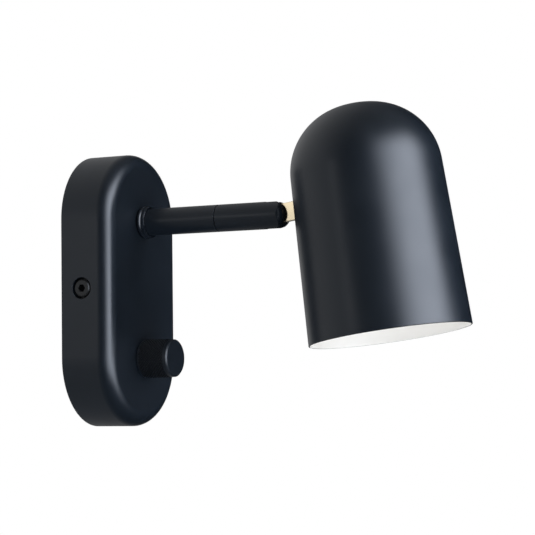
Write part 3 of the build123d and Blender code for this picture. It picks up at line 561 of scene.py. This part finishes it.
rubber = finish(
    "black rubber",
    dark=(0.012, 0.012, 0.012),
    light=(0.020, 0.020, 0.020),
    gloss=(0.55, 0.70),
    grain={"Size": 0.0005, "Depth": 0.00002, "Edge": 0.0004},
)
coat("cable_grommet", rubber)

# ---- terminals ------------------------------------------------------------------------
# A white moulded block with brass clamp screws takes the supply leads, and a brass screw
# beside the cable's way in takes the earth lead.

white_moulding = finish(
    "white moulding",
    dark=(0.78, 0.78, 0.75),
    light=(0.84, 0.84, 0.82),
    gloss=(0.32, 0.42),
    grain={"Size": 0.0009, "Depth": 0.000008, "Edge": 0.0004},
)
coat("terminal_block", white_moulding)
brass = finish(
    "turned brass",
    dark=(0.84, 0.70, 0.47),
    light=(0.89, 0.76, 0.53),
    gloss=(0.18, 0.24),
    grain={"Size": 0.0003, "Depth": 0.000004, "Edge": 0.00035, "Stretch": (1.0, 0.12, 1.0)},
    Metallic=1.0,
)
coat("terminal_screws", brass)
coat("earth_screw", brass)

# ---- arm ------------------------------------------------------------------------------
# A steel tube, coated like the cover, stands on the cover's front in a collar of two
# rounded rings, and a washer and a nut hold it from inside. It ends in a thin groove,
# where the front arm swivels on a brass spindle.


def turned(name, profile, origin, axis, across, columns=128, parts=None, materials=()):
    """A profile of (distance along the axis, radius) turned once round an axis.

    A point is origin + distance * axis + radius * (cos * across + sin * third), where
    third is square to both.
    """
    profile = np.asarray(profile, float)
    turn = np.linspace(0.0, 2.0 * np.pi, columns, endpoint=False)
    third = np.cross(axis, across)
    ring = np.cos(turn)[:, None] * np.asarray(across) + np.sin(turn)[:, None] * third
    grid = (
        np.asarray(origin)
        + profile[:, 0, None, None] * np.asarray(axis)
        + profile[:, 1, None, None] * ring[None]
    )
    return skin(name, grid, parts, materials)


cover_front = -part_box("cover_shell")[0].y
tube_low, tube_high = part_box("arm_tube_rear")
arm_height, arm_radius = (tube_low.z + tube_high.z) / 2.0, tube_high.x
tube_root, seam = -tube_high.y, -tube_low.y
wall_to_room = (0.0, -1.0, 0.0)
arm_origin = (0.0, 0.0, arm_height)
nipple_radius, bore_radius, bore_depth = 0.0050, 0.0062, 0.0150
tube_profile = softened(
    [
        (tube_root, 0.0, 0.0),
        (tube_root, nipple_radius, 0.0003),
        (cover_front, nipple_radius, 0.0001),
        (cover_front, arm_radius, 0.0001),
        (seam, arm_radius, 0.00025),
        (seam, bore_radius, 0.0001),
        (seam - bore_depth, bore_radius, 0.0001),
        (seam - bore_depth, 0.0, 0.0),
    ]
)
rear_tube = turned(
    "rear_tube",
    tube_profile,
    arm_origin,
    wall_to_room,
    across=(1.0, 0.0, 0.0),
    materials=[powder_coat],
)
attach(rear_tube, "base")
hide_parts("arm_tube_rear")

# The collar's two rings rise from a foot, the rear one higher. Each is steep towards the
# base, round on top and bevelled towards the room. Its coat is a little glossier.
collar_end = -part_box("arm_collar")[0].y
foot_length, foot_radius = 0.0012, 0.0096
rear_crest, front_crest = 0.0105, 0.01015
ring_start = cover_front + foot_length
ring_width = (collar_end - ring_start) / 2.0
rings = [
    softened(
        [
            (start, foot_radius, 0.0),
            (start + 0.10 * ring_width, crest, 0.0002),
            (start + 0.60 * ring_width, crest, 0.0003),
            (start + 0.98 * ring_width, foot_radius + 0.00005, 0.0001),
            (start + ring_width, foot_radius, 0.0),
        ]
    )
    for start, crest in ((ring_start, rear_crest), (ring_start + ring_width, front_crest))
]
collar_profile = np.concatenate(
    [
        [(cover_front, arm_radius), (cover_front, foot_radius), (ring_start, foot_radius)],
        *rings,
        [(collar_end, arm_radius), (cover_front, arm_radius)],
    ]
)
# The collar's coat is glossier than the cover's, and a little lighter as a painted highlight on
# its rings.
collar_coat_glossy_and_lit = finish(
    "glossier coat on the collar, lightened as painted highlight",
    dark=(0.0060, 0.0090, 0.0140),
    light=(0.0072, 0.0105, 0.0160),
    gloss=(0.20, 0.25),
    grain={"Size": 0.0006, "Depth": 0.000003, "Edge": 0.0001},
)
collar = turned(
    "collar",
    collar_profile,
    arm_origin,
    wall_to_room,
    across=(1.0, 0.0, 0.0),
    materials=[collar_coat_glossy_and_lit],
)
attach(collar, "base")
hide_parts("arm_collar")

black_moulding = finish(
    "black moulding",
    dark=(0.010, 0.010, 0.011),
    light=(0.016, 0.016, 0.017),
    gloss=(0.38, 0.50),
    grain={"Size": 0.0008, "Depth": 0.00001, "Edge": 0.0003},
)
for name in ("arm_washer", "arm_nut"):
    coat(name, zinc)
coat("swivel_spindle", brass)
coat("swivel_washer", black_moulding)

# ---- front arm ------------------------------------------------------------------------
# A round bar bored for the spindle and slotted into a fork, coated like the tube. A grub
# screw limits the swivel, and the hinge screw holds the tongue between two washers.

coat("front_arm", powder_coat)
coat("swivel_stop_screw", blackened_steel)
coat("hinge_screw", blackened_steel)
coat("hinge_disc_spring", zinc)
coat("hinge_washers", black_moulding)

# ---- tongue ---------------------------------------------------------------------------
# Solid brass, turned round and milled flat to run in the fork, with a foot that seats on
# the shade. A cast saddle and a nut clamp it from inside.

coat("hinge_tongue", brass)
coat("stub_nut", zinc)
cast_metal = finish(
    "die-cast saddle",
    dark=(0.30, 0.30, 0.31),
    light=(0.38, 0.38, 0.39),
    gloss=(0.42, 0.55),
    grain={"Size": 0.0008, "Depth": 0.00003, "Edge": 0.0004},
    Metallic=1.0,
)
coat("stub_saddle", cast_metal)

# ---- shade ----------------------------------------------------------------------------
# A spun steel dome, 139 mm high and 97 mm across its mouth, with a 1 mm wall. Its outline
# is a slight cone, a shoulder arc and a flat crown arc. It is coated like the cover
# outside and white enamelled inside, and hangs tilted out from the wall on its hinge.

tilt = np.radians(8.05)
shade_up = np.array([0.0, np.sin(tilt), np.cos(tilt)])
to_wall = np.array([0.0, np.cos(tilt), -np.sin(tilt)])
hinge_pin = np.array(frame["joints"][1]["pos_m"])
taper = np.radians(1.9)
rim_radius, cone_height, wall = 0.04855, 0.0998, 0.001
hinge_below_cone_end, hinge_clear_of_cone = 0.0151, 0.018
hinge_rise = cone_height - hinge_below_cone_end
hinge_offset = rim_radius - hinge_rise * np.tan(taper) + hinge_clear_of_cone
rim_centre = hinge_pin - hinge_offset * to_wall - hinge_rise * shade_up
shoulder_inset, crown_radius = 0.0047, 0.0757
end_radius = rim_radius - cone_height * np.tan(taper)
shoulder_radius = (end_radius - shoulder_inset) / np.cos(taper)
shoulder_level = cone_height - shoulder_radius * np.sin(taper)
crown_turn = np.arccos(shoulder_inset / (crown_radius - shoulder_radius))
crown_level = shoulder_level - shoulder_inset * np.tan(crown_turn)


def shade_outline(inset):
    """(height, radius) from near the rim to the crown: a cone and two tangent arcs.

    On an arc, height = level + radius * sin(turn) and radius = inset + radius * cos(turn).
    The inset moves the whole line inwards.
    """
    near_rim, further_up = np.linspace(0.0006, 0.003, 3), np.linspace(0.006, cone_height, 40)
    height = np.concatenate([near_rim, further_up])
    cone_radius = rim_radius - height * np.tan(taper) - inset / np.cos(taper)
    cone = np.stack([height, cone_radius], axis=1)
    turn = np.linspace(taper, crown_turn, 40)[1:]
    reach = shoulder_radius - inset
    shoulder = np.stack(
        [shoulder_level + reach * np.sin(turn), shoulder_inset + reach * np.cos(turn)], axis=1
    )
    turn = np.linspace(crown_turn, np.pi / 2.0, 10)[1:]
    reach = crown_radius - inset
    crown = np.stack([crown_level + reach * np.sin(turn), reach * np.cos(turn)], axis=1)
    crown[-1, 1] = 0.0
    return np.concatenate([cone, shoulder, crown])


outside = shade_outline(0.0)
inside = shade_outline(wall)
lip_turn, lip_radius = np.linspace(0.0, np.pi, 11)[1:-1], wall / 2.0
lip = np.stack(
    [
        lip_radius - lip_radius * np.sin(lip_turn),
        rim_radius - lip_radius + lip_radius * np.cos(lip_turn),
    ],
    axis=1,
)
shade_profile = np.concatenate([outside[::-1], lip, inside])
white_from = len(outside) + 6
painted_white = np.arange(len(shade_profile) - 1) >= white_from
white_enamel = finish(
    "white enamel",
    dark=(0.89, 0.89, 0.88),
    light=(0.92, 0.92, 0.91),
    gloss=(0.34, 0.42),
    grain={"Size": 0.0008, "Depth": 0.000006, "Edge": 0.0002},
)
shade = turned(
    "shade_dome",
    shade_profile,
    rim_centre,
    shade_up,
    across=(1.0, 0.0, 0.0),
    columns=192,
    parts=painted_white,
    materials=[powder_coat, white_enamel],
)
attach(shade, "head")
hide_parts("shade")

# ---- lampholder -----------------------------------------------------------------------
# A white moulded holder hangs from a zinc-plated strip under the crown, on a short
# threaded pipe. Its brass shell and sprung contact take the bulb's cap.

for name in ("holder_bracket", "holder_nipple", "holder_nut"):
    coat(name, zinc)
for name in ("holder_body", "holder_cap", "holder_insert"):
    coat(name, white_moulding)
for name in ("holder_thread", "holder_terminals", "centre_contact"):
    coat(name, brass)

# ---- bulb -----------------------------------------------------------------------------
# A round opal bulb, 45 mm across, on a small screw cap of bright nickelled metal, with a
# black insulator and a brass foot contact.

nickel = finish(
    "nickelled cap",
    dark=(0.62, 0.60, 0.56),
    light=(0.70, 0.68, 0.64),
    gloss=(0.18, 0.28),
    grain={"Size": 0.0004, "Depth": 0.000006, "Edge": 0.0003},
    Metallic=1.0,
)
opal = finish(
    "opal glass",
    dark=(0.90, 0.90, 0.88),
    light=(0.92, 0.92, 0.90),
    gloss=(0.16, 0.20),
    grain={"Size": 0.002, "Depth": 0.000004, "Edge": 0.0002},
    Subsurface_Weight=0.3,
    Subsurface_Radius=(0.004, 0.004, 0.004),
    Emission_Color=(1.0, 0.97, 0.93, 1.0),
    Emission_Strength=1.05,
)
coat("bulb_globe", opal)
coat("bulb_cap", nickel)
coat("bulb_insulator", black_moulding)
coat("bulb_contact", brass)

# ---- dimmer ---------------------------------------------------------------------------
# A rotary dimmer sits behind the cover's front. Its threaded bush goes through it, and a
# washer and a nut hold it there, out of sight inside the knob.

coat("dimmer_housing", black_moulding)
for name in ("dimmer_bush", "dimmer_washer", "dimmer_nut", "dimmer_spindle"):
    coat(name, zinc)

# ---- knob -----------------------------------------------------------------------------
# Turned metal, 24 mm across, with a diamond knurl between two plain bands and a
# chamfered front. It is coated like the cover, and pushes onto the dimmer's spindle.

knob_low, knob_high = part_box("knob")
knob_height = (knob_low.z + knob_high.z) / 2.0
knob_back, knob_front, tips = -knob_high.y, -knob_low.y, knob_high.x
back_band, front_band = 0.0012, 0.0031
knurl_back, knurl_front = knob_back + back_band, knob_front - front_band
band_below_tips, knurl_depth = 0.00035, 0.0006
band, root = tips - band_below_tips, tips - knurl_depth
chamfer, nut_space_radius, nut_space_depth = 0.0008, 0.0089, 0.0046
diamonds_round, diamonds_along, steps_per_diamond = 38, 9, 12
columns = diamonds_round * steps_per_diamond
back_part = softened(
    [
        (knob_back + nut_space_depth, 0.0, 0.0),
        (knob_back + nut_space_depth, nut_space_radius, 0.0002),
        (knob_back, nut_space_radius, 0.0002),
        (knob_back, band, 0.00025),
        (knurl_back, band, 0.0001),
        (knurl_back + 0.00005, root, 0.0),
    ]
)
front_part = softened(
    [
        (knurl_front - 0.00005, root, 0.0),
        (knurl_front, band, 0.0001),
        (knob_front - chamfer, band, 0.0001),
        (knob_front, band - chamfer, 0.0001),
        (knob_front - 0.00005, 0.0, 0.0),
    ]
)
along = np.linspace(
    knurl_back + 0.0001, knurl_front - 0.0001, diamonds_along * steps_per_diamond + 1
)
knurled_part = np.stack([along, np.full_like(along, root)], axis=1)
profile = np.concatenate([back_part, knurled_part, front_part])
turn = np.linspace(0.0, 2.0 * np.pi, columns, endpoint=False)


def knurl_height(distance, turn):
    """Diamonds where two sets of helical V grooves cross, from 0 in a groove to 1.

    Each set is a triangle wave of the share of a turn plus or minus the share of the
    knurl's length, counted in diamonds, and the lower of the two waves is the height. The
    points are cut flat at 0.85.
    """
    share = (distance - knurl_back) / (knurl_front - knurl_back) * diamonds_along
    round_share = turn / (2.0 * np.pi) * diamonds_round
    rising = 1.0 - np.abs(2.0 * ((round_share + share) % 1.0) - 1.0)
    falling = 1.0 - np.abs(2.0 * ((round_share - share) % 1.0) - 1.0)
    return np.minimum(np.minimum(rising, falling), 0.85) / 0.85


in_knurl = (profile[:, 0] > knurl_back + 0.00008) & (profile[:, 0] < knurl_front - 0.00008)
radius = profile[:, 1, None] + np.where(
    in_knurl[:, None], knurl_depth * knurl_height(profile[:, 0, None], turn[None]), 0.0
)
knob_grid = np.stack(
    [
        radius * np.cos(turn),
        np.repeat(-profile[:, 0, None], columns, axis=1),
        radius * np.sin(turn) + knob_height,
    ],
    axis=-1,
)
# The knurl takes a darker copy of the coat with less sheen: painted shade between its diamonds.
knurl_painted_shade = finish(
    "powder coat darkened as painted shade in the knurl",
    dark=(0.0030, 0.0042, 0.0060),
    light=(0.0042, 0.0058, 0.0080),
    gloss=(0.36, 0.46),
    grain={"Size": 0.0005, "Depth": 0.000008, "Edge": 0.0001},
    Specular_IOR_Level=0.28,
)
knurled_bands = (profile[:-1, 0] > knurl_back) & (profile[:-1, 0] < knurl_front - 0.0001)
knob = skin("dimmer_knob_knurled", knob_grid, knurled_bands, [powder_coat, knurl_painted_shade])
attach(knob, "dimmer_knob")
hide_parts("knob")
